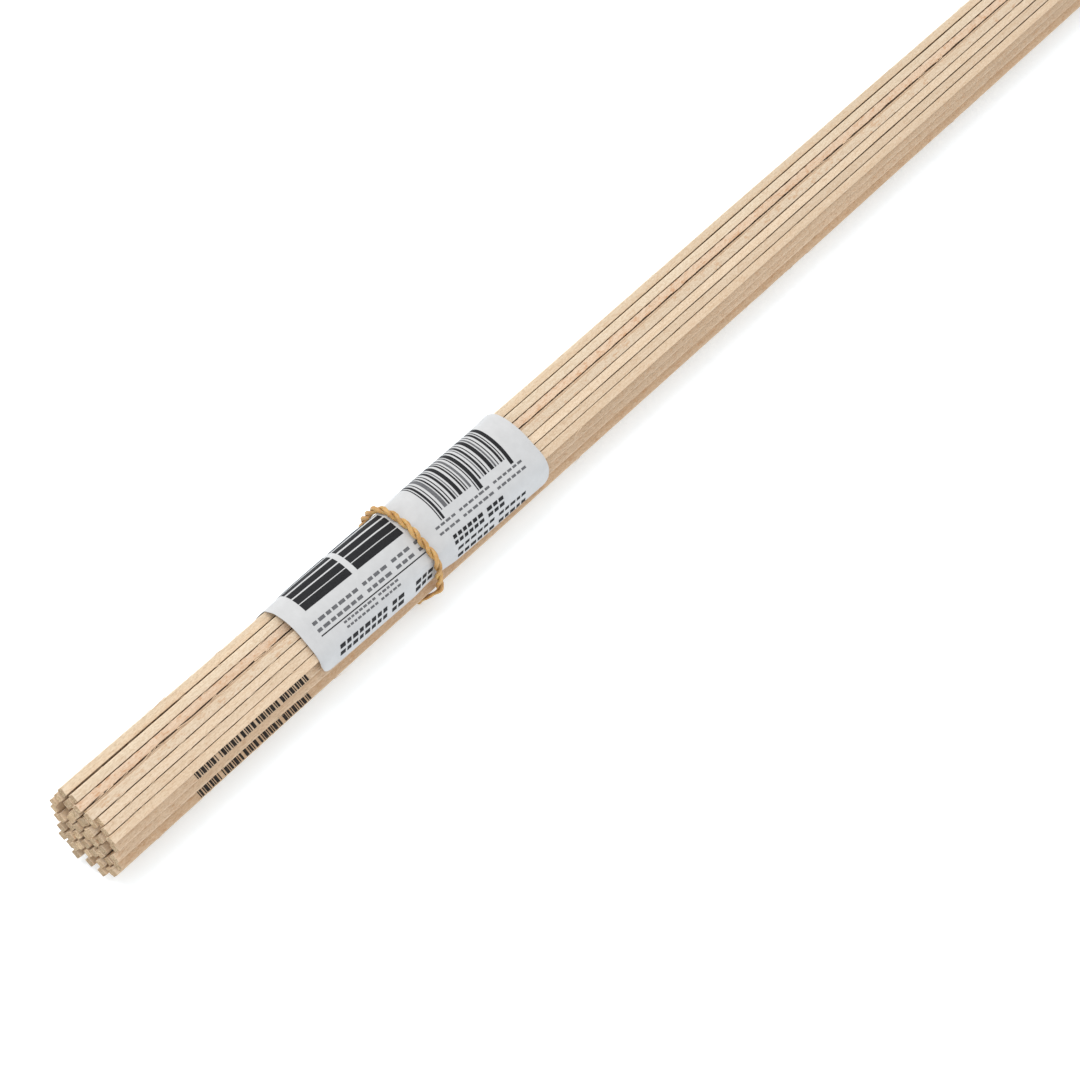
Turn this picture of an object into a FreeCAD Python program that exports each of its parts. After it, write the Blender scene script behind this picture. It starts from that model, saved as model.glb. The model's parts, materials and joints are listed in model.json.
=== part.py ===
"""A tied bundle of sixty square basswood strips with a paper label and two rubber bands.

Frame: +X along the strips from the labelled end to the far end, +Z up, origin under the middle
of the bundle on the surface that it lies on. Millimetres.

The strips lie in nine rows. The rows are rolled about X, because the bundle rests on its lower
flank: the outer corners of the last three rows are in one line, and that line is level.
Section coordinates are `across` (along a row) and `over` (through the rows, outwards at row 1).
"""
import FreeCAD
import Part
import math
import os
import random
import Sketcher
from FreeCAD import Placement, Rotation, Vector

AXIS_X = Vector(1, 0, 0)
SEED = 24
GAP_UNEVENNESS = 0.5      # how much wider or narrower than its row's mean a gap may be
HEIGHT_SLACK = 0.01       # how far a strip may stand off the middle of its row
ROLL_SLACK = 0.5          # degrees that a strip may be turned in its row
END_SPREAD = 0.30         # standard deviation of where a strip's end lies along X
END_LIMIT = 0.6           # the furthest that an ordinary strip stands out or in
SUNK_RANGE = (1.8, 3.4)   # how deep a pushed-in strip lies
OUTLINE_TOLERANCE = 0.03  # a corner this close to the outline is left out of it
ALONG_X = 0.9             # an edge whose direction has more X than this runs along the strip
QUARTER_TURN = 90.0

# The outer ends of the last three rows step by FLANK_STEP, which makes the flank it rests on.
FLANK_STEP = 1.28
LAST_END = 1.44
FLANK_ROWS = (7, 8, 9)
# Each row from the top facet down: how many strips, and where its inner and outer ends lie,
# in mean pitches from the middle of the bundle.
ROWS = (
    (4, -1.95, 1.95),
    (7, -4.05, 2.75),
    (8, -4.75, 3.55),
    (9, -4.65, 4.35),
    (9, -4.50, 4.50),
    (8, -4.00, 4.35),
    (7, -3.20, LAST_END + 2 * FLANK_STEP),
    (5, -2.25, LAST_END + FLANK_STEP),
    (3, -1.55, LAST_END),
)
# Strips whose ends are pushed in at the labelled end, as (row, number from the inner end).
SUNK = ((2, 5), (2, 6), (3, 7), (4, 8), (5, 2), (7, 2), (7, 6), (8, 4))
# Strips that the label's glue holds, apart from row 1. Each pair shares one file.
GLUED_PAIRS = {
    "strip_pair_flank": ((2, 7), (3, 8)),
    "strip_pair_shoulder": ((2, 1), (3, 1)),
    "strip_pair_back": ((5, 1), (6, 1)),
}


def make_sheet(doc):
    """The driving dimensions, one alias per row."""
    sheet = doc.addObject("Spreadsheet::Sheet", "Sheet")
    cells = (
        ("strip_side", 1.5875),       # 1/16 inch
        ("strip_length", 609.6),      # 24 inches
        ("strip_edge_break", 0.05),
        ("strip_pitch", 1.683),       # mean along a row
        ("row_gap", 0.035),
        ("label_length", 57.15),      # 2 1/4 inches
        ("label_reach", 25.4),        # around the bundle
        ("label_thickness", 0.1),
        ("label_overhang", 4.5),      # from row 1's outer corner down the flank
        ("label_corner", 1.5),
        ("label_start", 44.6),        # from the labelled end
        ("label_clearance", 0.03),
        ("band_width", 2.2),
        ("band_thickness", 1.5),      # the two twisted strands
        ("band_underside", 0.9),      # under the bundle, where the strands lie side by side
        ("band_clearance", 0.03),
        ("band_place", 72.1),         # from each end of the bundle to the band's middle
    )
    for line, (alias, value) in enumerate(cells, start=1):
        sheet.set("A%d" % line, alias)
        sheet.set("B%d" % line, str(value))
        sheet.setAlias("B%d" % line, alias)
    doc.recompute()
    return sheet


def origin_plane(body, role):
    """The body's own origin plane with that role."""
    for feature in body.Origin.OriginFeatures:
        if feature.Role == role:
            return feature
    raise RuntimeError("no plane " + role)


def section_sketch(body, name):
    """An empty sketch across the bundle: its x is the part's Y and its y is the part's Z."""
    sketch = body.newObject("Sketcher::SketchObject", name)
    sketch.AttachmentSupport = (origin_plane(body, "YZ_Plane"), [""])
    sketch.MapMode = "FlatFace"
    return sketch


def add_square(sketch, side):
    """A square centred on the sketch's origin, as wide as a strip."""
    corners = []
    for y, z in strip_corners((0, 0), side, 0):
        corners.append(Vector(y, z, 0))
    for start, end in zip(corners, corners[1:] + corners[:1]):
        sketch.addGeometry(Part.LineSegment(start, end), False)
    for line in range(4):
        sketch.addConstraint(Sketcher.Constraint("Coincident", line, 2, (line + 1) % 4, 1))
    for level in (0, 2):
        sketch.addConstraint(Sketcher.Constraint("Horizontal", level))
        sketch.addConstraint(Sketcher.Constraint("Vertical", level + 1))
    sketch.addConstraint(Sketcher.Constraint("Symmetric", 0, 1, 2, 1, -1, 1))
    width = sketch.addConstraint(Sketcher.Constraint("DistanceX", 0, 2, 0, 1, side))
    height = sketch.addConstraint(Sketcher.Constraint("DistanceY", 1, 2, 1, 1, side))
    sketch.setExpression("Constraints[%d]" % width, "Sheet.strip_side")
    sketch.setExpression("Constraints[%d]" % height, "Sheet.strip_side")


def add_loop(sketch, points):
    """A closed outline through (y, z) points."""
    first = sketch.GeometryCount
    count = len(points)
    for number in range(count):
        start = Vector(*points[number], 0)
        end = Vector(*points[(number + 1) % count], 0)
        sketch.addGeometry(Part.LineSegment(start, end), False)
    for number in range(count):
        following = first + (number + 1) % count
        sketch.addConstraint(Sketcher.Constraint("Coincident", first + number, 2, following, 1))


def add_pad(body, sketch, name, length):
    """Extrude the sketch along +X by the sheet's length."""
    pad = body.newObject("PartDesign::Pad", name)
    pad.Profile = sketch
    pad.setExpression("Length", length)
    sketch.Visibility = False
    return pad


def make_strip(doc, sheet, name, place, roll):
    """One strip: a square pad with its four long edges broken."""
    body = doc.addObject("PartDesign::Body", name)
    sketch = section_sketch(body, name + "_section")
    add_square(sketch, sheet.strip_side)
    pad = add_pad(body, sketch, name + "_pad", "Sheet.strip_length")
    doc.recompute()
    long_edges = []
    for number, edge in enumerate(pad.Shape.Edges, start=1):
        if abs(edge.tangentAt(edge.FirstParameter).x) > ALONG_X:
            long_edges.append("Edge%d" % number)
    chamfer = body.newObject("PartDesign::Chamfer", name + "_edges")
    chamfer.Base = (pad, long_edges)
    chamfer.setExpression("Size", "Sheet.strip_edge_break")
    body.Tip = chamfer
    body.Placement = Placement(place, Rotation(AXIS_X, roll))
    return body


def lay_out_row(shuffle, sheet, row):
    """One row's strips from its inner end, as (number, across) of their middles."""
    count, inner_end, outer_end = ROWS[row - 1]
    slack = (outer_end - inner_end) * sheet.strip_pitch - count * sheet.strip_side
    shares = [shuffle.uniform(1 - GAP_UNEVENNESS, 1 + GAP_UNEVENNESS) for _ in range(count - 1)]
    across = inner_end * sheet.strip_pitch + sheet.strip_side / 2
    places = [(1, across)]
    for number, share in enumerate(shares, start=2):
        across += sheet.strip_side + slack * share / sum(shares)
        places.append((number, across))
    return places


def lay_out_section(sheet):
    """Each strip's (row, number, across, over, roll)."""
    shuffle = random.Random(SEED)
    row_pitch = sheet.strip_side + sheet.row_gap
    counts = [count for count, _, _ in ROWS]
    middle_row = sum(row * count for row, count in enumerate(counts, start=1)) / sum(counts)
    strips = []
    for row, count in enumerate(counts, start=1):
        for number, across in lay_out_row(shuffle, sheet, row):
            over = (middle_row - row) * row_pitch
            roll = 0.0
            on_flank = row in FLANK_ROWS and number == count
            if not on_flank:
                over += shuffle.uniform(-HEIGHT_SLACK, HEIGHT_SLACK)
                roll = shuffle.uniform(-ROLL_SLACK, ROLL_SLACK)
            strips.append((row, number, across, over, roll))
    return strips


def end_offsets(strips):
    """Where each strip's labelled end lies along X, centred on zero."""
    shuffle = random.Random(SEED + 1)
    offsets = {}
    for row, number, _, _, _ in strips:
        offset = max(-END_LIMIT, min(END_LIMIT, shuffle.gauss(0, END_SPREAD)))
        if (row, number) in SUNK:
            offset = shuffle.uniform(*SUNK_RANGE)
        offsets[(row, number)] = offset
    middle = (min(offsets.values()) + max(offsets.values())) / 2
    return {key: offset - middle for key, offset in offsets.items()}


def turn(across, over, angle):
    """Section coordinates to (y, z), for a bundle rolled by that many degrees about X."""
    cosine = math.cos(math.radians(angle))
    sine = math.sin(math.radians(angle))
    return (-across * cosine - over * sine, -across * sine + over * cosine)


def strip_corners(centre, side, roll):
    """The four corners in (y, z) of a strip turned by roll degrees about X."""
    corners = []
    for quarter in range(4):
        angle = math.radians(roll + (quarter + 0.5) * QUARTER_TURN)
        reach = side / math.sqrt(2)
        corners.append((centre[0] + reach * math.cos(angle), centre[1] + reach * math.sin(angle)))
    return corners


def turn_of(a, b, c):
    """Twice the signed area of a triangle: positive when a, b, c turn left."""
    return (b[0] - a[0]) * (c[1] - a[1]) - (b[1] - a[1]) * (c[0] - a[0])


def convex_outline(points):
    """The convex outline round the points, counterclockwise, without nearly straight corners."""
    ordered = sorted(points)
    halves = []
    for run in (ordered, ordered[::-1]):
        half = []
        for point in run:
            while len(half) > 1 and turn_of(half[-2], half[-1], point) <= 0:
                half.pop()
            half.append(point)
        halves.append(half[:-1])
    outline = halves[0] + halves[1]
    kept = []
    for number, point in enumerate(outline):
        before = kept[-1] if kept else outline[-1]
        after = outline[(number + 1) % len(outline)]
        off_line = turn_of(before, point, after) / math.dist(before, after)
        if off_line > OUTLINE_TOLERANCE:
            kept.append(point)
    return kept


def offset_corner(before, corner, after, distance):
    """The corner moved outwards so that both of its sides move by the distance."""
    normals = []
    for a, b in ((before, corner), (corner, after)):
        length = math.dist(a, b)
        normals.append(((b[1] - a[1]) / length, (a[0] - b[0]) / length))
    (ax, ay), (bx, by) = normals
    scale = distance / (1 + ax * bx + ay * by)
    return (corner[0] + (ax + bx) * scale, corner[1] + (ay + by) * scale)


def offset_outline(outline, distance):
    """A closed outline moved outwards, with its corners kept sharp."""
    count = len(outline)
    moved = []
    for number in range(count):
        neighbours = (outline[number - 1], outline[number], outline[(number + 1) % count])
        moved.append(offset_corner(*neighbours, distance))
    return moved


def flatten_underside(outline, level):
    """The closed outline with what lies below the level cut away."""
    kept = []
    for number, here in enumerate(outline):
        before = outline[number - 1]
        if (before[1] < level) != (here[1] < level):
            part = (level - before[1]) / (here[1] - before[1])
            kept.append((before[0] + (here[0] - before[0]) * part, level))
        if here[1] >= level:
            kept.append(here)
    return kept


def walk(outline, start, distance):
    """The points from corner number start up to the distance, counterclockwise when positive."""
    count = len(outline)
    step = 1 if distance > 0 else -1
    left = abs(distance)
    points = [outline[start]]
    while True:
        here = outline[start % count]
        following = outline[(start + step) % count]
        length = math.dist(here, following)
        if length >= left:
            part = left / length
            end = tuple(a + (b - a) * part for a, b in zip(here, following))
            return points + [end]
        points.append(following)
        left -= length
        start += step


def thicken(path, distance):
    """The open path moved to its right by the distance, with square ends."""
    moved = []
    last = len(path) - 1
    for number, point in enumerate(path):
        before = path[number - 1] if number else None
        after = path[number + 1] if number < last else None
        if before and after:
            moved.append(offset_corner(before, point, after, distance))
            continue
        a, b = (point, after) if after else (before, point)
        length = math.dist(a, b)
        normal = ((b[1] - a[1]) / length, (a[0] - b[0]) / length)
        moved.append((point[0] + normal[0] * distance, point[1] + normal[1] * distance))
    return moved


def make_label(doc, sheet, outline, corner, near_end):
    """The paper label: a thin sheet bent round the bundle, with rounded corners."""
    inner = offset_outline(outline, sheet.label_clearance)
    start = outline.index(corner)
    down_flank = walk(inner, start, sheet.label_overhang)
    over_top = walk(inner, start, sheet.label_overhang - sheet.label_reach)
    path = over_top[::-1] + down_flank[1:]
    loop = path[::-1] + thicken(path, sheet.label_thickness)
    body = doc.addObject("PartDesign::Body", "paper_label")
    sketch = section_sketch(body, "label_section")
    add_loop(sketch, loop)
    pad = add_pad(body, sketch, "label_sheet", "Sheet.label_length")
    doc.recompute()
    ends = (path[0], path[-1])
    corner_edges = []
    for number, edge in enumerate(pad.Shape.Edges, start=1):
        if edge.Length > 2 * sheet.label_thickness:
            continue
        middle = edge.CenterOfMass
        if min(math.dist((middle.y, middle.z), end) for end in ends) < sheet.label_thickness:
            corner_edges.append("Edge%d" % number)
    fillet = body.newObject("PartDesign::Fillet", "label_corners")
    fillet.Base = (pad, corner_edges)
    fillet.setExpression("Radius", "Sheet.label_corner")
    body.Tip = fillet
    body.Placement = Placement(Vector(near_end + sheet.label_start, 0, 0), Rotation())
    return body


def make_band(doc, sheet, name, inner, outer, middle):
    """A rubber band as a plain closed ring round the bundle."""
    body = doc.addObject("PartDesign::Body", name)
    sketch = section_sketch(body, name + "_section")
    add_loop(sketch, outer)
    add_loop(sketch, inner)
    add_pad(body, sketch, name + "_ring", "Sheet.band_width")
    body.Placement = Placement(Vector(middle - sheet.band_width / 2, 0, 0), Rotation())
    return body


def group_strips(doc, strips):
    """Gather the glued pairs in compounds. Returns every strip node, pairs and single strips."""
    nodes = []
    grouped = set()
    for name, members in GLUED_PAIRS.items():
        pair = doc.addObject("Part::Compound", name)
        pair.Links = [strips[member] for member in members]
        grouped.update(members)
        nodes.append(pair)
    for key, body in strips.items():
        if key not in grouped:
            nodes.append(body)
    return nodes


def check_document(doc, nodes):
    """Stop if any object failed or any node has no valid shape."""
    for item in doc.Objects:
        if "Invalid" in item.State or "Error" in item.State:
            raise RuntimeError("failed: " + item.Name)
    for node in nodes:
        if node.Shape.isNull() or not node.Shape.isValid():
            raise RuntimeError("bad shape: " + node.Label)


def main():
    doc = FreeCAD.newDocument("strip_bundle")
    sheet = make_sheet(doc)
    layout = lay_out_section(sheet)
    offsets = end_offsets(layout)

    # The roll that lays the resting flank level.
    side = sheet.strip_side
    rise = side + sheet.row_gap
    roll = math.degrees(math.atan2(rise, FLANK_STEP * sheet.strip_pitch))

    # The outline of the rolled bundle, the bands round it, and the shift that sets them down.
    corners = []
    for _, _, across, over, own_roll in layout:
        corners += strip_corners(turn(across, over, roll), side, roll + own_roll)
    outline = convex_outline(corners)
    to_band = sheet.label_clearance + sheet.label_thickness + sheet.band_clearance
    widths = [point[0] for point in offset_outline(outline, to_band + sheet.band_thickness)]
    lowest = min(point[1] for point in outline)
    shift = (-(min(widths) + max(widths)) / 2, to_band + sheet.band_underside - lowest)
    outline = [(y + shift[0], z + shift[1]) for y, z in outline]

    near_end = -sheet.strip_length / 2
    strips = {}
    for row, number, across, over, own_roll in layout:
        y, z = turn(across, over, roll)
        place = Vector(near_end + offsets[(row, number)], y + shift[0], z + shift[1])
        name = "strip_row%d_no%d" % (row, number)
        strips[(row, number)] = make_strip(doc, sheet, name, place, roll + own_roll)
    nodes = group_strips(doc, strips)

    # The label starts from row 1's outer corner, which is the nearest one to its flank side.
    outer_end = ROWS[0][2] * sheet.strip_pitch
    top = max(over for _, _, _, over, _ in layout) + side / 2
    y, z = turn(outer_end, top, roll)
    top_corner = (y + shift[0], z + shift[1])
    corner = min(outline, key=lambda point: math.dist(point, top_corner))
    nodes.append(make_label(doc, sheet, outline, corner, near_end))

    inner = offset_outline(outline, to_band)
    outer = flatten_underside(offset_outline(outline, to_band + sheet.band_thickness), 0.0)
    band_offset = near_end + sheet.band_place
    nodes.append(make_band(doc, sheet, "rubber_band_near", inner, outer, band_offset))
    nodes.append(make_band(doc, sheet, "rubber_band_far", inner, outer, -band_offset))

    doc.recompute()
    check_document(doc, nodes)
    os.makedirs("parts", exist_ok=True)
    for node in nodes:
        node.Shape.exportStep(os.path.join("parts", node.Label + ".step"))
    print("roll %.2f degrees, %d nodes" % (roll, len(nodes)))


main()
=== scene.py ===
"""The looks of a tied bundle of sixty basswood strips.

Each CAD strip is replaced by a slightly uneven one that lies in its place. The label, its print,
the bars stamped on two strips, the two twisted rubber bands and the loose fibres on the strips'
edges are made from the outline of the strips. Metres, with X along the strips and Z up.
"""
import json
import math
import random
import bmesh
import bpy
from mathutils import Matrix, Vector, noise


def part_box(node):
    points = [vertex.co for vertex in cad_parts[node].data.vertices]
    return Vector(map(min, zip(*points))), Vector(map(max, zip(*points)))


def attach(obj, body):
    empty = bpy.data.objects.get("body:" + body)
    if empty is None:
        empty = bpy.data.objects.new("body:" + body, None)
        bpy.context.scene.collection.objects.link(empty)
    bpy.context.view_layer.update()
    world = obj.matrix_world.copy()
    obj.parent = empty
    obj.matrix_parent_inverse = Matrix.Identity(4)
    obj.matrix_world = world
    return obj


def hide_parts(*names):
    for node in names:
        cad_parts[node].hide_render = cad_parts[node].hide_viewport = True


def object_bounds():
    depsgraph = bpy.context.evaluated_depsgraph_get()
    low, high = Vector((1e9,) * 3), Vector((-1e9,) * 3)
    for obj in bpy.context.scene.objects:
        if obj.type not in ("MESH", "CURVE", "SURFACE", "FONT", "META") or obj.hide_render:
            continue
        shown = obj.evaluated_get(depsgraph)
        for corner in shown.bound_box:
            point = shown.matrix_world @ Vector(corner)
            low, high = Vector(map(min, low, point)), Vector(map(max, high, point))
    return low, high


MM = 0.001
TURN = 2 * math.pi
SEED = 60

# The camera looks along the bundle from beyond its labelled end, from high up on its -Y side.
CAMERA_FROM_NEAR_END = (-0.1759, -0.2243, 0.3474)
CAMERA_PITCH_DOWN = 45.75      # degrees below the horizon
CAMERA_HEADING = 37.99         # degrees from +X towards +Y
CAMERA_LENS = 98.33            # millimetres, as the sensor's width is
SENSOR_WIDTH = 36.0
CAMERA_CLIP = (0.01, 20)       # the nearest and the furthest distance it sees

# The studio: a white floor that glows faintly, a pale sky, and a light on the +Y side.
FLOOR_HALF = 6.0
FLOOR_GLOW = 0.35
SKY_COLOUR = (0.965, 0.98, 1.0)
SKY_STRENGTH = 0.93
KEY_PLACE = (-0.38, 0.30, 0.95)
KEY_TARGET = (-0.2, 0, 0)
KEY_SIZE = 0.8
KEY_POWER = 5.4

# How finely the bundle's outline is followed, and how meshes are joined and shaded.
OUTLINE_POINTS = 240
LOOP_POINTS = 720
WELD_DISTANCE = 0.001 * MM
SMOOTH_BELOW = 40              # degrees between two faces that are shaded as one

# Each strip is sawn a little under its nominal size, and bends a little between the bands.
NOMINAL_SIDE = 1.5875 * MM
STRIP_SHORTFALL = 0.110 * MM   # off the nominal side
SECTION_POINTS = 8             # two at each rounded corner
STRIP_ROUNDING = 0.07 * MM
STRIP_STEP = 2.5 * MM
EDGE_ROUGHNESS = 0.016 * MM
RAGGED_STEP = 0.8 * MM         # for the strips whose edges the saw has torn
RAGGED_ROUGHNESS = 0.055 * MM
RAGGED_LOSS = 0.13 * MM        # the wood torn off their outer sides
RAGGED_BIAS = 0.7              # the higher it is, the less of a side is left whole
RAGGED_LENGTH = 3.5 * MM
RAGGED_STRIPS = ("strip_row2_no2", "strip_pair_back")
WANDER = 0.085 * MM            # how far a strip strays from straight
WANDER_LENGTH = 55 * MM
WANDER_OVER = 0.6              # the share of it that goes across the rows
WANDER_HELD = 0.25             # the share of it that is left where the bundle is held
QUICK_WANDER = 0.3             # a second, quicker one, as a share of the first
QUICK_FACTOR = 4.1
STRIPS_APART = 7.3             # these three keep the strays apart in the noise
DIRECTIONS_APART = 3.1
QUICK_APART = 9.7
SPREAD = 0.022                 # how much wider the bundle is where nothing holds it
SPREAD_REACH = 90 * MM         # how far from a band or the label it takes to widen
END_BREAK = 0.06 * MM          # the length of the broken edges at a strip's ends
END_SHRINK = 0.6 * END_BREAK   # and how far they draw each side in

# The top two rows have slid along themselves, and most at the back. At the labelled end one
# strip leans out. Heights are over the bundle's middle, square to the rows.
SLIDE = 0.40 * MM
SLIDE_SPAN = (-5.7 * MM, 4.2 * MM)      # from where it is greatest to where it is nothing
SLIDE_ABOVE = 3.2 * MM
TOP_ROW_SLIDE = 0.04 * MM      # on top of the rest
TOP_ROW_ABOVE = 5.0 * MM
LEANING = {("strip_pair_shoulder", 1): -0.16 * MM}      # (node, solid from the top)

# The label: a sheet of paper that is pulled down under the band and stands off elsewhere.
PAPER_THICKNESS = 0.10 * MM
PAPER_CORNER = 2.1 * MM        # the radius of its corners
PAPER_STEP_ALONG = 0.5 * MM
PAPER_STEP_ROUND = 0.25 * MM
PAPER_CROWDING = 0.08          # how much closer its columns lie near its ends
PAPER_LIFT_LOOSE = 0.33 * MM   # how far the paper stands off where nothing presses on it
PAPER_LIFT_TIGHT = 0.07 * MM   # and under the band
PAPER_BEND_LOOSE = 3.6 * MM    # the length over which it bends round an edge of the bundle
PAPER_BEND_TIGHT = 0.6 * MM
PAPER_EDGE_LIFT = 0.15 * MM    # how much further its edges stand off
PAPER_EDGE_REACH = 2.5 * MM
PAPER_SKEW = 1.1 * MM          # how far its far lower corner is pulled along the bundle
PAPER_SKEW_REACH = 14 * MM
PAPER_RISE = 1.4 * MM          # how much higher its lower edge lies at its near end
PAPER_HELD_REACH = 9.0 * MM    # the back of its near end is stuck down this far along
PAPER_HELD_SLOPE = 5           # and how quickly that begins, round the bundle
PINCH_REACH = 5.0 * MM         # how far from the band the paper is pulled down
PUCKER = 0.07 * MM             # the paper's small waves beside the band
PUCKER_ROUND = 1.7 * MM        # their lengths round the bundle and along it
PUCKER_ALONG = 4 * MM
PUCKER_PLACE = 3.0             # which part of the noise they are taken from
INK_LIFT = 0.015 * MM
PRINT_TILT = 0.04              # how far the print is turned on the paper, in radians

# Each rubber band is one loop that goes twice round, twisted on itself.
BAND_DRIFT = 0.45 * MM         # the near band lies this far to one side of its CAD ring's middle
STRAND_WIDTH = 0.78 * MM
STRAND_THICKNESS = 0.64 * MM
STRAND_SQUARENESS = 0.7        # 1 is an oval section, and less is squarer
STRAND_GAP = 0.02 * MM         # from a strand to the axis of the twist
STRAND_SIDES = 14
BAND_TURNS = 7.5               # twists in one trip round; the half joins the pair into one loop
BAND_STEPS = 420
BAND_BEND = 1.6 * MM
BAND_LIFT = 0.93 * MM          # from the strips' outline to the middle of the twisted pair
BAND_SLANT = 0.30 * MM         # how far it leans along the bundle on its way round
BAND_PHASE = 0.7
BAND_WOBBLE = 0.05 * MM
WOBBLE_STEPS = 17
STRANDS_APART = 5              # keeps the strands' wobbles apart in the noise
FLAT_LIFT = 0.55 * MM          # the pair's lift where it lies flat, low on the bundle
FLAT_THICKNESS = 0.50 * MM
FLAT_BELOW = 6.2 * MM          # below this height the twist eases off
FLAT_EASE = 2.4 * MM           # and this far below it the pair is flat
FLAT_MARGIN = 3                # a trip begins at least so many steps inside the flat stretch
GROUND_BELOW = 0.66 * MM       # the flat pair lies on the ground where its path is this low
GROUND_EASE = 0.60 * MM        # and comes down to it over this height
UNDERSIDE_THICKNESS = 0.86 * MM


# ---------------- nodes and materials

class Shader:
    """A material's node tree, with short calls to add nodes to it."""

    def __init__(self, name):
        self.material = bpy.data.materials.new(name)
        self.material.use_nodes = True
        self.tree = self.material.node_tree
        self.tree.nodes.clear()
        self.output = self.tree.nodes.new("ShaderNodeOutputMaterial")
        self.surface = self.add("ShaderNodeBsdfPrincipled")
        self.link(self.surface.outputs["BSDF"], self.output.inputs["Surface"])

    def add(self, kind, **settings):
        node = self.tree.nodes.new(kind)
        for key, value in settings.items():
            setattr(node, key, value)
        return node

    def link(self, source, target):
        self.tree.links.new(source, target)

    def feed(self, node, socket, value):
        """Set a socket, or link it when the value is another node's output."""
        if isinstance(value, bpy.types.NodeSocket):
            self.link(value, node.inputs[socket])
        else:
            node.inputs[socket].default_value = value

    def coordinates(self, scale, shift=(0, 0, 0)):
        """The piece's own coordinates in millimetres, stretched by the scale."""
        place = self.add("ShaderNodeTexCoord")
        mapping = self.add("ShaderNodeMapping")
        mapping.inputs["Location"].default_value = shift
        mapping.inputs["Scale"].default_value = [factor / MM for factor in scale]
        self.link(place.outputs["Object"], mapping.inputs["Vector"])
        return mapping.outputs["Vector"]

    def noise(self, vector, detail=3.0, roughness=0.5):
        """Noise over a vector that coordinates() has stretched already."""
        node = self.add("ShaderNodeTexNoise")
        self.link(vector, node.inputs["Vector"])
        node.inputs["Scale"].default_value = 1.0
        node.inputs["Detail"].default_value = detail
        node.inputs["Roughness"].default_value = roughness
        return node.outputs["Fac"]

    def ramp(self, factor, *stops):
        """A colour ramp through (position, colour) stops."""
        node = self.add("ShaderNodeValToRGB")
        elements = node.color_ramp.elements
        while len(elements) < len(stops):
            elements.new(0.5)
        for element, (position, colour) in zip(elements, stops):
            element.position = position
            element.color = (*colour, 1.0)
        self.link(factor, node.inputs["Fac"])
        return node.outputs["Color"]

    def level(self, factor, low, high, bottom=0.0, top=1.0):
        """The factor stretched so that low and high become bottom and top, and held there."""
        node = self.add("ShaderNodeMapRange")
        self.feed(node, "Value", factor)
        node.inputs["From Min"].default_value = low
        node.inputs["From Max"].default_value = high
        node.inputs["To Min"].default_value = bottom
        node.inputs["To Max"].default_value = top
        return node.outputs["Result"]

    def math(self, operation, first, second=0.0):
        node = self.add("ShaderNodeMath", operation=operation)
        self.feed(node, 0, first)
        self.feed(node, 1, second)
        return node.outputs["Value"]

    def mix(self, factor, first, second):
        """From the first colour to the second as the factor goes from 0 to 1."""
        node = self.add("ShaderNodeMix", data_type="RGBA")
        self.feed(node, "Factor", factor)
        # Sockets 6 and 7 are the node's two colours.
        for socket, value in ((6, first), (7, second)):
            if isinstance(value, tuple):
                node.inputs[socket].default_value = (*value, 1.0)
            else:
                self.link(value, node.inputs[socket])
        return node.outputs[2]

    def bump(self, height, distance, strength, normal=None):
        node = self.add("ShaderNodeBump")
        node.inputs["Strength"].default_value = strength
        node.inputs["Distance"].default_value = distance
        self.link(height, node.inputs["Height"])
        if normal is not None:
            self.link(normal, node.inputs["Normal"])
        return node.outputs["Normal"]


def scaled(colour, factor):
    return tuple(min(1.0, channel * factor) for channel in colour)


WOOD_SHIFT = 400               # how far off in the noise a strip's grain may be taken
END_LIGHT = (0.74, 1.16)       # how light the end grain is, from strip to strip


def side_grain(shade, tone, fleck, shift):
    """The colour of a strip's long sides, and the two noises that their surface follows."""
    broad = shade.noise(shade.coordinates((0.012, 0.25, 0.25), shift), detail=2.0)
    streak = shade.noise(shade.coordinates((0.07, 2.6, 2.6), shift), detail=4.0, roughness=0.6)
    fibre = shade.noise(shade.coordinates((1.7, 5.2, 5.2), shift), detail=4.0, roughness=0.75)
    dash = shade.noise(shade.coordinates((0.7, 3.3, 3.3), shift), detail=3.0, roughness=0.75)
    ray = shade.noise(shade.coordinates((0.55, 0.8, 0.8), shift), detail=3.0, roughness=0.6)

    colour = shade.ramp(
        shade.level(broad, 0.3, 0.7),
        (0.0, scaled(tone, 0.95)),
        (1.0, scaled(tone, 1.08)),
    )
    tan = (tone[0] * 0.84, tone[1] * 0.74, tone[2] * 0.62)
    pale = (tone[0] * 1.16, tone[1] * 1.20, tone[2] * 1.24)
    rust = (tone[0] * 0.80, tone[1] * 0.58, tone[2] * 0.42)
    colour = shade.mix(shade.level(streak, 0.45, 0.80, 0.0, 0.6), colour, tan)
    colour = shade.mix(shade.level(fibre, 0.48, 0.70, 0.0, 0.8), colour, scaled(tan, 0.90))
    colour = shade.mix(shade.level(fibre, 0.46, 0.30, 0.0, 0.7), colour, pale)
    colour = shade.mix(shade.level(dash, 0.60, 0.70, 0.0, 0.6), colour, scaled(tan, 0.78))
    flecks = shade.math("MULTIPLY", shade.level(ray, 0.50, 0.60), shade.level(dash, 0.46, 0.56))
    colour = shade.mix(shade.math("MULTIPLY", flecks, fleck), colour, rust)
    return colour, fibre, dash


def end_grain(shade, light, shift):
    """The colour of a strip's sawn ends: brown pores and blotches."""
    pores = shade.noise(shade.coordinates((1.0, 7.0, 7.0), shift), detail=3.0, roughness=0.7)
    blotch = shade.noise(shade.coordinates((0.3, 1.1, 1.1), shift), detail=2.0)
    grain = shade.ramp(
        pores,
        (0.36, scaled((0.17, 0.095, 0.042), light)),
        (0.50, scaled((0.46, 0.325, 0.185), light)),
        (0.64, scaled((0.80, 0.630, 0.420), light)),
    )
    return shade.mix(shade.level(blotch, 0.40, 0.7, 0.0, 0.6), grain, (0.30, 0.175, 0.085))


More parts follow.
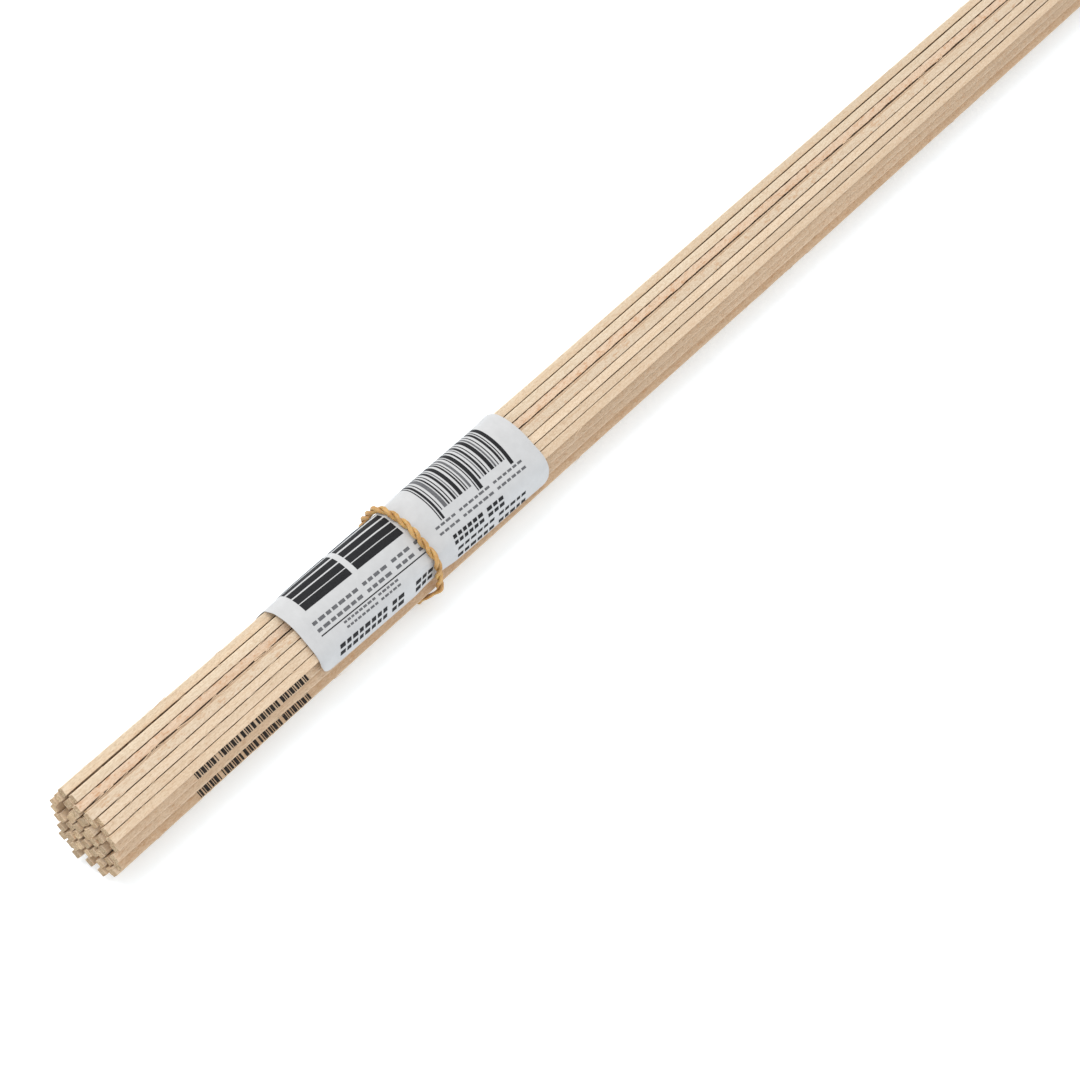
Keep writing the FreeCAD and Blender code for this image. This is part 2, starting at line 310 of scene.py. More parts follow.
def wood_material(name, tone, fleck, seed):
    """Raw basswood: fine fibres along X, short flecks, broad tints and darker end grain."""
    shade = Shader(name)
    draw = random.Random(seed)
    shift = tuple(draw.uniform(-WOOD_SHIFT, WOOD_SHIFT) for _ in range(3))
    end_light = draw.uniform(*END_LIGHT)
    colour, fibre, dash = side_grain(shade, tone, fleck, shift)

    # The ends are where the surface faces along X.
    place = shade.add("ShaderNodeTexCoord")
    split = shade.add("ShaderNodeSeparateXYZ")
    shade.link(place.outputs["Normal"], split.inputs["Vector"])
    facing = shade.math("ABSOLUTE", split.outputs["X"])
    colour = shade.mix(shade.level(facing, 0.5, 0.8), colour, end_grain(shade, end_light, shift))

    shade.link(colour, shade.surface.inputs["Base Color"])
    shade.feed(shade.surface, "Roughness", shade.level(fibre, 0.3, 0.7, 0.62, 0.82))
    shade.surface.inputs["Specular IOR Level"].default_value = 0.28
    fine = shade.bump(fibre, 0.035 * MM, 1.0)
    rough = shade.bump(dash, 0.06 * MM, 0.9, fine)
    shade.link(rough, shade.surface.inputs["Normal"])
    return shade.material


def paper_material():
    """Cool white label paper, faintly mottled."""
    shade = Shader("label_paper")
    mottle = shade.noise(shade.coordinates((0.5, 0.5, 0.5)), detail=4.0, roughness=0.6)
    fibre = shade.noise(shade.coordinates((6.0, 6.0, 6.0)), detail=3.0, roughness=0.6)
    colour = shade.ramp(
        shade.level(mottle, 0.3, 0.7),
        (0.0, (0.526, 0.522, 0.518)),
        (1.0, (0.572, 0.568, 0.563)),
    )
    shade.link(colour, shade.surface.inputs["Base Color"])
    shade.feed(shade.surface, "Roughness", shade.level(fibre, 0.3, 0.7, 0.42, 0.58))
    shade.surface.inputs["Specular IOR Level"].default_value = 0.4
    shade.link(shade.bump(fibre, 0.01 * MM, 0.5), shade.surface.inputs["Normal"])
    return shade.material


def ink_material(name, dark, light):
    """Printed ink, slightly uneven."""
    shade = Shader(name)
    mottle = shade.noise(shade.coordinates((2.5, 2.5, 2.5)), detail=4.0, roughness=0.7)
    colour = shade.ramp(shade.level(mottle, 0.35, 0.75), (0.0, dark), (1.0, light))
    shade.link(colour, shade.surface.inputs["Base Color"])
    shade.feed(shade.surface, "Roughness", shade.level(mottle, 0.3, 0.7, 0.5, 0.65))
    shade.surface.inputs["Specular IOR Level"].default_value = 0.2
    return shade.material


def rubber_material():
    """Natural rubber: amber, waxy, with a dusty bloom and darker patches."""
    shade = Shader("band_rubber")
    cloud = shade.noise(shade.coordinates((0.5, 0.5, 0.5)), detail=3.0)
    grain = shade.noise(shade.coordinates((5.0, 5.0, 5.0)), detail=4.0, roughness=0.65)
    colour = shade.ramp(
        shade.level(cloud, 0.3, 0.7),
        (0.0, (0.385, 0.200, 0.055)),
        (1.0, (0.600, 0.370, 0.125)),
    )
    colour = shade.mix(shade.level(grain, 0.5, 0.8, 0.0, 0.4), colour, (0.760, 0.560, 0.280))
    shade.link(colour, shade.surface.inputs["Base Color"])
    shade.feed(shade.surface, "Roughness", shade.level(grain, 0.3, 0.7, 0.38, 0.55))
    shade.surface.inputs["Subsurface Weight"].default_value = 0.35
    shade.surface.inputs["Subsurface Radius"].default_value = (1.0 * MM, 0.5 * MM, 0.2 * MM)
    shade.surface.inputs["Subsurface Scale"].default_value = 1.0
    shade.link(shade.bump(grain, 0.03 * MM, 0.6), shade.surface.inputs["Normal"])
    return shade.material


def floor_material():
    """A plain white table top that glows faintly, like a light table."""
    shade = Shader("floor_white")
    mottle = shade.noise(shade.coordinates((0.02, 0.02, 0.02)), detail=2.0)
    colour = shade.ramp(mottle, (0.3, (0.850, 0.890, 0.930)), (0.7, (0.870, 0.910, 0.950)))
    shade.link(colour, shade.surface.inputs["Base Color"])
    shade.surface.inputs["Roughness"].default_value = 0.9
    shade.surface.inputs["Emission Color"].default_value = (0.86, 0.94, 1.0, 1.0)
    shade.surface.inputs["Emission Strength"].default_value = FLOOR_GLOW
    return shade.material


# ---------------- shapes

def new_object(name, mesh, *materials):
    thing = bpy.data.objects.new(name, mesh)
    bpy.context.scene.collection.objects.link(thing)
    for material in materials:
        mesh.materials.append(material)
    return thing


def grid_faces(rows, columns, closed_rows=False, closed_columns=False, first=0):
    """The faces of a grid of points that are listed row by row."""
    faces = []
    for row in range(rows if closed_rows else rows - 1):
        for column in range(columns if closed_columns else columns - 1):
            below = ((row + 1) % rows) * columns
            beside = (column + 1) % columns
            here = row * columns
            corners = (here + column, here + beside, below + beside, below + column)
            faces.append([first + corner for corner in corners])
    return faces


def convex_outline(points):
    """The convex outline round (y, z) points, counterclockwise."""
    ordered = sorted(set(points))
    outline = []
    for run in (ordered, ordered[::-1]):
        half = []
        for point in run:
            while len(half) > 1:
                (ay, az), (by, bz) = half[-2], half[-1]
                if (by - ay) * (point[1] - az) - (bz - az) * (point[0] - ay) > 0:
                    break
                half.pop()
            half.append(point)
        outline += half[:-1]
    return outline


def even_points(loop, count):
    """Points at even distances round a closed loop."""
    lengths = [math.dist(loop[n - 1], loop[n]) for n in range(len(loop))]
    lengths = lengths[1:] + lengths[:1]
    total = sum(lengths)
    points = []
    side = 0
    passed = 0.0
    for number in range(count):
        wanted = total * number / count
        while passed + lengths[side] < wanted:
            passed += lengths[side]
            side += 1
        part = (wanted - passed) / lengths[side]
        start = loop[side]
        end = loop[(side + 1) % len(loop)]
        points.append((start[0] + (end[0] - start[0]) * part, start[1] + (end[1] - start[1]) * part))
    return points, total


def rounded_loop(loop, bend, lift, count=LOOP_POINTS):
    """The loop with its corners eased over the bend length, and moved outwards by the lift."""
    points, total = even_points(loop, count)
    reach = max(1, round(bend / 2 / total * count))
    eased = []
    for number in range(count):
        near = [points[(number + step) % count] for step in range(-reach, reach + 1)]
        eased.append((sum(p[0] for p in near) / len(near), sum(p[1] for p in near) / len(near)))
    moved = []
    for number in range(count):
        ahead = eased[(number + 1) % count]
        behind = eased[number - 1]
        length = math.dist(ahead, behind)
        outward = ((ahead[1] - behind[1]) / length, (behind[0] - ahead[0]) / length)
        here = eased[number]
        moved.append((here[0] + outward[0] * lift, here[1] + outward[1] * lift))
    return moved


def on_loop(loop, place):
    """The point at that many steps round a loop of evenly spaced points, and the way out."""
    count = len(loop)
    whole = math.floor(place)
    part = place - whole
    start = loop[whole % count]
    end = loop[(whole + 1) % count]
    y = start[0] + (end[0] - start[0]) * part
    z = start[1] + (end[1] - start[1]) * part
    length = math.dist(start, end)
    return (y, z), ((end[1] - start[1]) / length, (start[0] - end[0]) / length)


def ease(value):
    """A smooth step from 0 to 1."""
    value = max(0.0, min(1.0, value))
    return value * value * (3 - 2 * value)


# ---------------- the frame

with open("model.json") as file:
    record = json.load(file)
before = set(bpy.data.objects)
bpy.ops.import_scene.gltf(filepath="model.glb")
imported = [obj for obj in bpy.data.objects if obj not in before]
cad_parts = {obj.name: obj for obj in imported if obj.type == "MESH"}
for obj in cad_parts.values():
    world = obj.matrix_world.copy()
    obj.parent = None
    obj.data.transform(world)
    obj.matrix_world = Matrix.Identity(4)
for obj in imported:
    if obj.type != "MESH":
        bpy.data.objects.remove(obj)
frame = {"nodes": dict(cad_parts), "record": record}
cad_low, cad_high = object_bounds()
nodes = frame["nodes"]
strip_names = sorted(name for name in nodes if name.startswith("strip_"))

section_points = []
for strip_name in strip_names:
    for vertex in nodes[strip_name].data.vertices:
        section_points.append((vertex.co.y, vertex.co.z))
OUTLINE = convex_outline(section_points)
SILHOUETTE, OUTLINE_LENGTH = even_points(OUTLINE, OUTLINE_POINTS)
label_low, label_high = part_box("paper_label")
near_low, near_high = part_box("rubber_band_near")
BAND_MIDDLES = {
    "rubber_band_near": (near_low.x + near_high.x) / 2 + BAND_DRIFT,
    "rubber_band_far": sum(corner.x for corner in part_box("rubber_band_far")) / 2,
}


# ---------------- strips

PLAIN_TONE = (0.690, 0.545, 0.395)
TONE_SPREAD = 0.035
FLECK_STRENGTHS = (0.1, 0.2, 0.3, 0.6)
# Strips whose colour stands out: (tone, strength of the flecks).
SPECIAL_STRIPS = {
    "strip_row2_no2": ((0.750, 0.580, 0.430), 0.75),
    "strip_pair_shoulder": ((0.740, 0.610, 0.455), 0.2),
    "strip_pair_flank": ((0.680, 0.525, 0.375), 0.3),
    "strip_row4_no9": ((0.640, 0.465, 0.310), 0.4),
}


def section_frame():
    """The unit directions along a row and outwards through the rows, and the bundle's middle."""
    first = sum(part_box("strip_row1_no1"), Vector()) / 2
    last = sum(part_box("strip_row1_no4"), Vector()) / 2
    length = math.hypot(last.y - first.y, last.z - first.z)
    across = ((last.y - first.y) / length, (last.z - first.z) / length)
    over = (across[1], -across[0])
    middle = [sum(values) / len(values) for values in zip(*OUTLINE)]
    return across, over, middle


ACROSS, OVER, MIDDLE = section_frame()


def island_vertices(mesh):
    """The vertices of each separate solid of a mesh, the highest solid first."""
    work = bmesh.new()
    work.from_mesh(mesh)
    bmesh.ops.remove_doubles(work, verts=work.verts, dist=WELD_DISTANCE)
    unseen = set(work.verts)
    islands = []
    while unseen:
        front = [unseen.pop()]
        island = []
        while front:
            vertex = front.pop()
            island.append(vertex.co.copy())
            for edge in vertex.link_edges:
                other = edge.other_vert(vertex)
                if other in unseen:
                    unseen.remove(other)
                    front.append(other)
        islands.append(island)
    work.free()
    return sorted(islands, key=lambda island: -max(corner.z for corner in island))


class Strip:
    """One strip of wood, and where its points lie once it has bent and spread."""

    def __init__(self, corners, seed, ragged, lean):
        self.start = min(corner.x for corner in corners)
        self.end = max(corner.x for corner in corners)
        y = sum(corner.y for corner in corners) / len(corners) - MIDDLE[0]
        z = sum(corner.z for corner in corners) / len(corners) - MIDDLE[1]
        self.across = y * ACROSS[0] + z * ACROSS[1]
        self.over = y * OVER[0] + z * OVER[1]
        self.seed = seed
        self.step = RAGGED_STEP if ragged else STRIP_STEP
        self.roughness = RAGGED_ROUGHNESS if ragged else EDGE_ROUGHNESS
        self.loss = RAGGED_LOSS if ragged else 0.0
        self.half = (NOMINAL_SIDE - STRIP_SHORTFALL) / 2
        self.lean = lean
        self.slide = 0.0
        if self.over > SLIDE_ABOVE:
            back, front = SLIDE_SPAN
            self.slide = SLIDE * (front - self.across) / (front - back)
        if self.over > TOP_ROW_ABOVE:
            self.slide += TOP_ROW_SLIDE

    def wander(self, x, channel):
        """How far the strip strays there, along its row (channel 0) or across the rows (1)."""
        row = STRIPS_APART * self.seed
        slow = noise.noise(Vector((x / WANDER_LENGTH, row, DIRECTIONS_APART * channel)))
        quick_x = QUICK_FACTOR * x / WANDER_LENGTH
        quick = noise.noise(Vector((quick_x, row, QUICK_APART + channel)))
        return WANDER * (slow + QUICK_WANDER * quick)

    def point(self, x, across, over):
        """The place of a point of the strip, given from the strip's own middle."""
        free = freedom(x)
        spread = 1 + SPREAD * free
        looseness = WANDER_HELD + (1 - WANDER_HELD) * free
        slid = self.slide + self.lean * ease((label_low.x - x) / (label_low.x - cad_low.x))
        a = self.across * spread + slid + self.wander(x, 0) * looseness + across
        o = self.over * spread + self.wander(x, 1) * looseness * WANDER_OVER + over
        y = MIDDLE[0] + a * ACROSS[0] + o * OVER[0]
        z = MIDDLE[1] + a * ACROSS[1] + o * OVER[1]
        return (x, y, max(z, cad_low.z))

    def ring(self, draw, x, shrink=0.0):
        """The strip's rounded square section, with uneven edges."""
        reach = self.half - shrink
        inner = reach - STRIP_ROUNDING
        torn = noise.noise(Vector((x / RAGGED_LENGTH, self.seed, 0)))
        loss = self.loss * max(0.0, RAGGED_BIAS + torn)
        points = []
        for side_a, side_o in ((1, 1), (-1, 1), (-1, -1), (1, -1)):
            rough_a = -abs(draw.gauss(0, self.roughness))
            rough_o = -abs(draw.gauss(0, self.roughness / 2))
            side_loss = loss if side_a > 0 else 0.0
            pair = [(reach + rough_a - side_loss, inner), (inner - side_loss, reach + rough_o)]
            if side_a * side_o < 0:
                pair.reverse()
            for a, o in pair:
                points.append(self.point(x, side_a * a, side_o * o))
        return points

    def add_to(self, vertices, faces):
        """The strip's closed mesh, added to the lists."""
        draw = random.Random(self.seed)
        count = round((self.end - self.start) / self.step)
        body_start = self.start + END_BREAK
        step = (self.end - self.start - 2 * END_BREAK) / count
        stations = [(self.start, END_SHRINK)]
        stations += [(body_start + step * number, 0.0) for number in range(count + 1)]
        stations.append((self.end, END_SHRINK))
        first = len(vertices)
        for x, shrink in stations:
            vertices += self.ring(draw, x, shrink)
        faces += grid_faces(len(stations), SECTION_POINTS, closed_columns=True, first=first)
        faces.append(list(range(first + SECTION_POINTS - 1, first - 1, -1)))
        faces.append(list(range(len(vertices) - SECTION_POINTS, len(vertices))))


def freedom(x):
    """From 0 where a band or the label holds the bundle to 1 far away from both."""
    near = max(label_low.x - x, x - label_high.x, 0)
    far = abs(x - BAND_MIDDLES["rubber_band_far"])
    return ease(min(near, far) / SPREAD_REACH)


def body_of(node):
    """The body that a CAD node moves with."""
    for body, names in frame["record"]["behaviour"]["bodies"].items():
        if node in names:
            return body
    raise KeyError(node)


def plain_wood(draw):
    """The tone and the flecks' strength of an ordinary strip."""
    light = 1 + draw.gauss(0, TONE_SPREAD)
    warm = draw.gauss(0, TONE_SPREAD / 2)
    red, green, blue = PLAIN_TONE
    tone = (red * light, green * light * (1 - warm), blue * light * (1 - 2 * warm))
    return tone, draw.choice(FLECK_STRENGTHS)


def make_strips():
    """One piece for each strip node, in basswood of its own. Returns the strips by node."""
    draw = random.Random(SEED)
    strips = {}
    for number, name in enumerate(strip_names):
        plain = plain_wood(draw)
        tone, fleck = SPECIAL_STRIPS.get(name, plain)
        material = wood_material("basswood_" + name, tone, fleck, SEED + number)

        vertices, faces = [], []
        strips[name] = []
        for place, corners in enumerate(island_vertices(nodes[name].data)):
            lean = LEANING.get((name, place), 0.0)
            strip = Strip(corners, 2 * number + place, name in RAGGED_STRIPS, lean)
            strip.add_to(vertices, faces)
            strips[name].append(strip)
        mesh = bpy.data.meshes.new("wood_" + name)
        mesh.from_pydata(vertices, [], faces)
        piece = new_object("wood_" + name, mesh, material)
        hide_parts(name)
        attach(piece, body_of(name))
    return strips


# Bars stamped on two strips, from the bundle's near end: a plain pattern that encodes nothing.
STAMP_START = 18.2 * MM
STAMP_END = 43.5 * MM
STAMP_STRIPS = {"strip_pair_flank": 0, "strip_row4_no9": 0}      # node: solid from the top
STAMP_BARS = (0.20, 0.42, 0.22, 0.62)      # widths in turn, in millimetres
STAMP_GAPS = (0.17, 0.28, 0.15)
STAMP_UNEVENNESS = 0.02                    # of the bars' ends, in millimetres
STAMP_MISSING = 0.12                       # the share of the bars that didn't print
STAMP_LIFT = 0.030 * MM
STAMP_ACROSS = (-0.60 * MM, 0.70 * MM)     # the face's part that the row above leaves bare


def stamp_bars(strips):
    """Dark bars across the bare part of the two strips' outer faces."""
    ink = ink_material("stamp_ink", (0.012, 0.010, 0.009), (0.05, 0.04, 0.032))
    near_end = cad_low.x
    for name, place in STAMP_STRIPS.items():
        draw = random.Random(SEED)
        strip = strips[name][place]
        vertices, faces = [], []
        x = near_end + STAMP_START
        number = 0
        while x < near_end + STAMP_END:
            width = STAMP_BARS[number % len(STAMP_BARS)] * MM
            if draw.random() > STAMP_MISSING:
                first = len(vertices)
                for along in (x, x + width):
                    for across in STAMP_ACROSS:
                        across += draw.uniform(-STAMP_UNEVENNESS, STAMP_UNEVENNESS) * MM
                        vertices.append(strip.point(along, across, strip.half + STAMP_LIFT))
                faces.append((first, first + 1, first + 3, first + 2))
            x += width + STAMP_GAPS[number % len(STAMP_GAPS)] * MM
            number += 1
        mesh = bpy.data.meshes.new("stamp_" + name)
        mesh.from_pydata(vertices, [], faces)
        bars = new_object("stamp_" + name, mesh, ink)
        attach(bars, body_of(name))


# Splinters and fuzz that stand off the edges of the outer strips.
FIBRES_PER_STRIP = 14
FIBRE_LENGTH = (0.8 * MM, 3.2 * MM)
FIBRE_RADIUS = (0.030 * MM, 0.070 * MM)
FIBRE_TAPER = 0.85             # the share of its radius that it loses towards its tip
FIBRE_LEAN = (0.05, 0.32)      # how far it stands off, for its length
FIBRE_CURL = (-0.5, 0.8)       # how much that changes towards its tip
FIBRE_WAY = (0.2, 0.8)         # 0 is straight out of the row, and 1 straight along it
FIBRES_AT_END = 0.3            # the share that is placed before the label
FIBRE_SIDES = 4
FIBRE_STEPS = 5
FIBRE_MARGIN = 4 * MM
SPLINTERS = 45                 # more and thicker ones, on a ragged strip's torn edge
SPLINTER_SIZE = 1.8
TORN_CORNER = (1, 1)           # that edge, as (across, over) signs
OUTER_DEPTH = 1.3 * MM         # a strip whose corner is this near the outline is an outer one


def outward_corners(strip):
    """The strip's section corners that lie at the outline, as (across, over) signs."""
    corners = []
    for sign_a in (-1, 1):
        for sign_o in (-1, 1):
            _, y, z = strip.point(0, sign_a * strip.half, sign_o * strip.half)
            nearest = min(math.dist((y, z), point) for point in SILHOUETTE)
            radial = sign_a * strip.across + sign_o * strip.over
            if nearest < OUTER_DEPTH and radial > 0:
                corners.append((sign_a, sign_o))
    return corners


def add_fibre(draw, strip, corner, size, vertices, faces):
    """One tapered hair that starts on an edge and bends away from it."""
    sign_a, sign_o = corner
    length = draw.uniform(*FIBRE_LENGTH)
    radius = draw.uniform(*FIBRE_RADIUS) * size
    way = draw.choice((-1, 1))
    lean = draw.uniform(*FIBRE_LEAN)
    curl = draw.uniform(*FIBRE_CURL)
    start = draw.uniform(strip.start + FIBRE_MARGIN, strip.end - FIBRE_MARGIN)
    if draw.random() < FIBRES_AT_END:
        start = draw.uniform(strip.start + FIBRE_MARGIN, label_low.x - FIBRE_MARGIN)
    share = draw.uniform(*FIBRE_WAY)
    first = len(vertices)
    for step in range(FIBRE_STEPS):
        part = step / (FIBRE_STEPS - 1)
        out = length * part * (lean + curl * lean * part) - radius
        here = radius * (1 - FIBRE_TAPER * part)
        a = sign_a * (strip.half + out * share)
        o = sign_o * (strip.half + out * (1 - share))
        for side in range(FIBRE_SIDES):
            angle = TURN * side / FIBRE_SIDES
            ring_a = a + here * math.cos(angle)
            ring_o = o + here * math.sin(angle)
            vertices.append(strip.point(start + way * length * part, ring_a, ring_o))
    faces += grid_faces(FIBRE_STEPS, FIBRE_SIDES, closed_columns=True, first=first)
    faces.append([first + side for side in range(FIBRE_SIDES)])
    faces.append([len(vertices) - 1 - side for side in range(FIBRE_SIDES)])


def make_fibres(strips):
    """The hairs of each outer strip, as one piece that moves with it."""
    draw = random.Random(SEED + 5)
    wood = wood_material("basswood_fibre", scaled(PLAIN_TONE, 1.05), 0.1, SEED)
    for name, members in strips.items():
        vertices, faces = [], []
        for strip in members:
            corners = outward_corners(strip)
            for _ in range(FIBRES_PER_STRIP if corners else 0):
                add_fibre(draw, strip, draw.choice(corners), 1.0, vertices, faces)
            for _ in range(SPLINTERS if name in RAGGED_STRIPS else 0):
                add_fibre(draw, strip, TORN_CORNER, SPLINTER_SIZE, vertices, faces)
        if not faces:
            continue
        mesh = bpy.data.meshes.new("fibres_" + name)
        mesh.from_pydata(vertices, [], faces)
        fibres = new_object("fibres_" + name, mesh, wood)
        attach(fibres, body_of(name))


# ---------------- label

# The paper's way round the bundle where it is loose, and where the band presses on it.
LOOSE = rounded_loop(OUTLINE, PAPER_BEND_LOOSE, PAPER_LIFT_LOOSE)
TIGHT = rounded_loop(OUTLINE, PAPER_BEND_TIGHT, PAPER_LIFT_TIGHT)


def label_span():
    """The loop's step at the label's lower edge, and how many steps the label covers."""
    covered = set()
    for vertex in nodes["paper_label"].data.vertices:
        here = (vertex.co.y, vertex.co.z)
        covered.add(min(range(len(TIGHT)), key=lambda step: math.dist(TIGHT[step], here)))
    covered = sorted(covered)
    gaps = []
    for number, step in enumerate(covered):
        following = covered[(number + 1) % len(covered)]
        gaps.append(((following - step) % len(TIGHT), step, following))
    _, lower, upper = max(gaps)
    return lower, (lower - upper) % len(TIGHT)


LABEL_LAST_STEP, LABEL_STEPS = label_span()
LABEL_LENGTH = label_high.x - label_low.x
LABEL_REACH = LABEL_STEPS / len(TIGHT) * OUTLINE_LENGTH


def paper_point(along, around, lift):
    """A point over the label, given from its near edge and from its lower edge."""
    x = label_low.x + along
    step = LABEL_LAST_STEP - LABEL_STEPS * around / LABEL_REACH
    (tight_y, tight_z), _ = on_loop(TIGHT, step)
    (loose_y, loose_z), outward = on_loop(LOOSE, step)
    beside = abs(x - BAND_MIDDLES["rubber_band_near"]) - STRAND_WIDTH
    at_back = ease(PAPER_HELD_SLOPE * around / LABEL_REACH - PAPER_HELD_SLOPE / 2)
    held = ease(1 - along / PAPER_HELD_REACH) * at_back
    loose = ease(beside / PINCH_REACH) * (1 - held)
    # The waves are highest halfway between tight and loose.
    wave = noise.noise(Vector((PUCKER_PLACE, around / PUCKER_ROUND, x / PUCKER_ALONG)))
    lift += PUCKER * wave * 4 * loose * (1 - loose)
    edge = max(0.0, min(along, LABEL_LENGTH - along, around))
    lift += PAPER_EDGE_LIFT * ease(1 - edge / PAPER_EDGE_REACH) * loose
    y = tight_y + (loose_y - tight_y) * loose + outward[0] * lift
    z = tight_z + (loose_z - tight_z) * loose + outward[1] * lift
    return (x, y, z)


def corner_inset(along):
    """How far the label's rounded corners draw its long edges in."""
    edge = min(along, LABEL_LENGTH - along)
    if edge >= PAPER_CORNER:
        return 0.0
    return PAPER_CORNER - math.sqrt(PAPER_CORNER ** 2 - (PAPER_CORNER - edge) ** 2)


def make_label():
    """The sheet of paper, stuck down under the band and a little loose elsewhere."""
    columns = round(LABEL_LENGTH / PAPER_STEP_ALONG) + 1
    rows = round(LABEL_REACH / PAPER_STEP_ROUND) + 1
    vertices = []
    for lift in (0.0, PAPER_THICKNESS):
        for row in range(rows):
            for column in range(columns):
                # The columns lie closer together towards the ends, to round the corners well.
                share = column / (columns - 1)
                crowded = share - PAPER_CROWDING * math.sin(TURN * share) / math.pi
                along = LABEL_LENGTH * crowded
                inset = corner_inset(along)
                lower = inset + PAPER_RISE * (1 - along / LABEL_LENGTH)
                around = lower + (LABEL_REACH - inset - lower) * row / (rows - 1)
                skew = PAPER_SKEW * max(0.0, 1 - around / PAPER_SKEW_REACH) ** 2
                pull = skew * along / LABEL_LENGTH
                vertices.append(paper_point(along + pull, around, lift))
    layer = rows * columns
    under = grid_faces(rows, columns)
    top = grid_faces(rows, columns, first=layer)
    faces = [face[::-1] for face in top] + under
    rim = list(range(columns))
    rim += [row * columns + columns - 1 for row in range(1, rows)]
    rim += [layer - 1 - column for column in range(1, columns)]
    rim += [row * columns for row in range(rows - 2, 0, -1)]
    for here, following in zip(rim, rim[1:] + rim[:1]):
        faces.append((following, here, here + layer, following + layer))
    mesh = bpy.data.meshes.new("label_sheet")
    mesh.from_pydata(vertices, [], faces)
    smooth_mesh(mesh)
    label = new_object("label_sheet", mesh, paper_material())
    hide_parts("paper_label")
    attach(label, "root")


def smooth_mesh(mesh):
    """Smooth shading except across sharp edges, with every face turned outwards."""
    work = bmesh.new()
    work.from_mesh(mesh)
    bmesh.ops.recalc_face_normals(work, faces=work.faces)
    work.to_mesh(mesh)
    work.free()
    mesh.shade_smooth()
    mesh.set_sharp_from_angle(angle=math.radians(SMOOTH_BELOW))


PRINT_STEP_ALONG = 1.0         # the print's steps, in millimetres as all of it is
PRINT_STEP_ROUND = 0.25
DASHES_IN_GROUP = (3, 8)
DASH_WIDTH = 0.62              # this and the two gaps are shares of the line's height
DASH_SPREAD = (0.75, 1.2)
DASH_GAP = 0.2
GROUP_GAP = 0.45               # on top of the gap between dashes


class Print:
    """Marks of one ink on the label, each a small sheet that follows the paper."""

    def __init__(self, name, dark, light):
        self.name = name
        self.ink = ink_material(name, dark, light)
        self.vertices = []
        self.faces = []

    def mark(self, start, end, bottom, top, lean=0.0):
        """A block, in millimetres along and round the label, turned with the whole print."""
        columns = max(2, math.ceil((end - start) / PRINT_STEP_ALONG) + 1)
        rows = max(2, math.ceil((top - bottom) / PRINT_STEP_ROUND) + 1)
        first = len(self.vertices)
        for row in range(rows):
            rise = bottom + (top - bottom) * row / (rows - 1)
            for column in range(columns):
                run = start + (end - start) * column / (columns - 1) + lean * (rise - bottom)
                along = (run + PRINT_TILT * rise) * MM
                around = (rise - PRINT_TILT * run) * MM
                self.vertices.append(paper_point(along, around, PAPER_THICKNESS + INK_LIFT))
        self.faces += grid_faces(rows, columns, first=first)

    def dashes(self, draw, start, end, bottom, top, share, lean):
        """A line of writing shown only as two rows of plain dashes: no letters."""
        height = top - bottom
        stroke = height * share
        run = start
        left_in_group = draw.randint(*DASHES_IN_GROUP)
        while run < end:
            width = height * DASH_WIDTH * draw.uniform(*DASH_SPREAD)
            upper = run + lean * (height - stroke)
            self.mark(run, run + width, bottom, bottom + stroke, lean)
            self.mark(upper, upper + width, top - stroke, top, lean)
            run += width + height * DASH_GAP
            left_in_group -= 1
            if left_in_group == 0:
                run += height * GROUP_GAP
                left_in_group = draw.randint(*DASHES_IN_GROUP)

    def finish(self):
        mesh = bpy.data.meshes.new(self.name)
        mesh.from_pydata(self.vertices, [], self.faces)
        mesh.shade_smooth()
        sheet = new_object(self.name, mesh, self.ink)
        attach(sheet, "root")


# The label's print in millimetres. Nothing on it can be read: two dark panels with pale grain
# lines, one ruled line, lines of dashes, and bars whose widths repeat.
PANELS = ((3.4, 14.2), (15.4, 26.4))
PANEL_BOTTOM = 11.9
PRINT_TOP = 19.6
GRAIN_LINES = 4
GRAIN_WIDTH = 0.16             # the lowest pale line's, and each next one is wider by
GRAIN_GROWTH = 0.1
BARS_START, BARS_END = 33.4, 51.6
BARS_BOTTOM = 11.0
BAR_WIDTHS = (0.22, 0.50, 0.22, 0.78, 0.36)
BAR_GAPS = (0.24, 0.36, 0.50)
GREY_EVERY = 4                 # of so many bars the last is grey
GUARD_BOTTOM = 9.7             # the longer bars' lower end
GUARD_SPAN = 1.0               # and the stretch that holds a pair of them
LAST_GUARD = 1.2               # before the end of the bars
RULE = (2.7, 27.6, 7.20, 7.40)      # its start, end, bottom and top
# Lines of dashes: ink, start, end, bottom, top, each row's share of the height, lean.
DASH_LINES = (
    ("grey", 2.7, 27.4, 7.95, 9.85, 0.30, 0.0),
    ("grey", 7.4, 20.8, 5.70, 6.90, 0.30, 0.0),
    ("black", 4.3, 20.0, 2.40, 4.35, 0.38, 0.2),
    ("black", 22.8, 26.6, 2.40, 4.35, 0.38, 0.2),
    ("grey", 31.6, 52.8, 7.75, 9.35, 0.26, 0.0),
    ("black", 33.3, 46.3, 4.95, 6.65, 0.38, 0.1),
    ("black", 33.5, 51.4, 2.25, 4.15, 0.30, 0.2),
)


def print_panels(black):
    """Dark panels cut lengthwise by narrow pale lines, each wider than the one below it."""
    band = (PRINT_TOP - PANEL_BOTTOM) / (GRAIN_LINES + 1)
    for start, end in PANELS:
        for line in range(GRAIN_LINES + 1):
            bottom = PANEL_BOTTOM + line * band
            black.mark(start, end, bottom, bottom + band - GRAIN_WIDTH - GRAIN_GROWTH * line)


